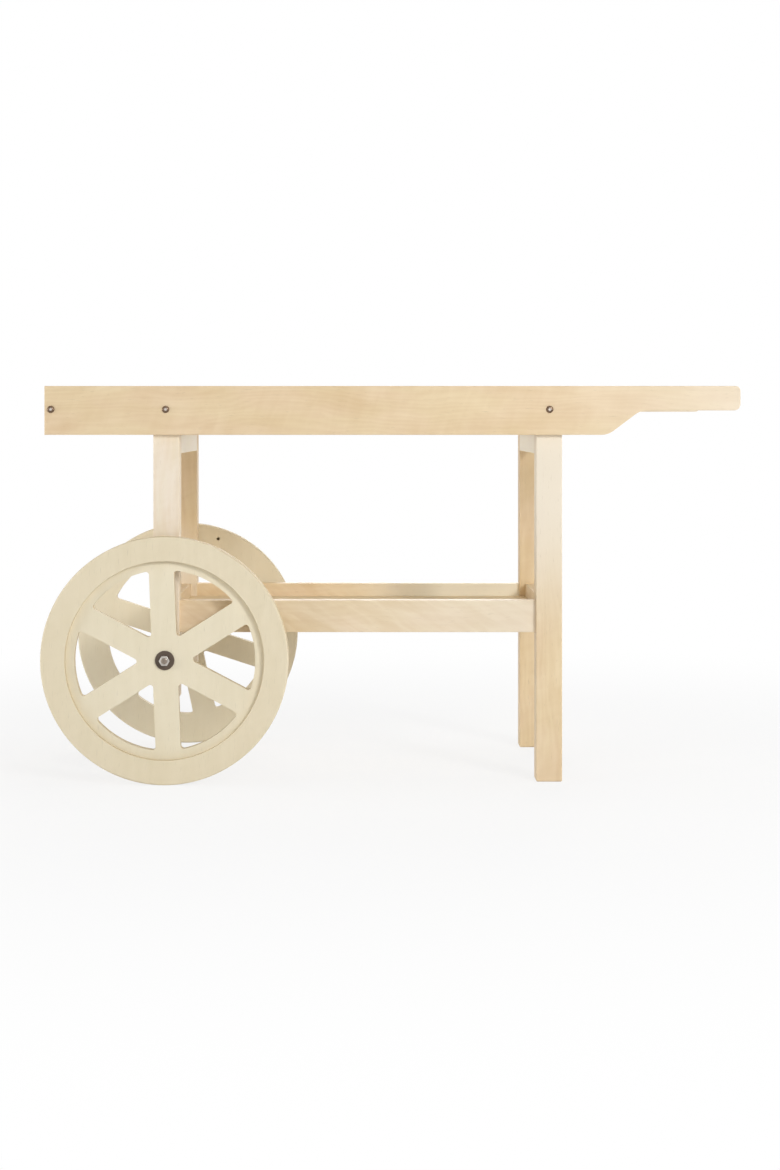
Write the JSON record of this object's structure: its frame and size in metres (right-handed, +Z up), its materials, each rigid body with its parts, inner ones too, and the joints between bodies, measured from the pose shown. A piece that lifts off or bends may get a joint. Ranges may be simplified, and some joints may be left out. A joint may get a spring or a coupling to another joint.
{
  "type": "market cart",
  "caption": "Wooden market cart with a railed deck, a lower shelf, legs and two spoked wheels on one axle, pushed by two handles.",
  "frame": {"origin": "on the floor, under the middle of the cart's overall box", "axes": "+X towards the handles, +Y towards the cart's right side as seen by the person who pushes it, +Z up"},
  "size_m": [1.341, 0.5836, 0.762],
  "materials": {
    "frame_birch": "clear satin lacquer on solid birch",
    "wheel_birch": "clear satin lacquer on birch plywood",
    "panel_birch": "clear satin lacquer on birch plywood",
    "bush_nylon": "moulded, matt",
    "zinc_steel": "bright zinc plate",
    "bolt_steel": "plain steel"
  },
  "bodies": {
    "frame": {"axle": "zinc_steel", "axle_nut_left": "zinc_steel", "axle_nut_right": "zinc_steel", "axle_spacer_left": "zinc_steel", "axle_spacer_right": "zinc_steel", "barrel_nuts": "zinc_steel", "deck_cleat_end_left": "frame_birch", "deck_cleat_end_right": "frame_birch", "deck_cleat_handle_left": "frame_birch", "deck_cleat_handle_right": "frame_birch", "deck_cleat_middle_left": "frame_birch", "deck_cleat_middle_right": "frame_birch", "deck_panel": "panel_birch", "end_board": "frame_birch", "leg_handle_left": "frame_birch", "leg_handle_right": "frame_birch", "leg_wheel_left": "frame_birch", "leg_wheel_right": "frame_birch", "lower_cross_board_handle": "frame_birch", "lower_cross_board_wheel": "frame_birch", "rail_bolts": "bolt_steel", "shelf_cleat_left": "frame_birch", "shelf_cleat_right": "frame_birch", "shelf_panel": "panel_birch", "shelf_rail_left": "frame_birch", "shelf_rail_right": "frame_birch", "side_rail_left": "frame_birch", "side_rail_right": "frame_birch", "upper_cross_rail_handle": "frame_birch", "upper_cross_rail_wheel": "frame_birch"},
    "left_wheel": {"wheel_web_left": "wheel_birch", "wheel_rim_left": "wheel_birch", "wheel_bush_left": "bush_nylon"},
    "right_wheel": {"wheel_web_right": "wheel_birch", "wheel_rim_right": "wheel_birch", "wheel_bush_right": "bush_nylon"}
  },
  "joints": [
    {"name": "left_wheel_spin", "type": "hinge", "parent": "frame", "child": "left_wheel", "pos_m": [-0.4335, -0.2685, 0.237], "axis": [0, 1, 0], "continuous": true},
    {"name": "right_wheel_spin", "type": "hinge", "parent": "frame", "child": "right_wheel", "pos_m": [-0.4335, 0.2685, 0.237], "axis": [0, 1, 0], "continuous": true}
  ]
}
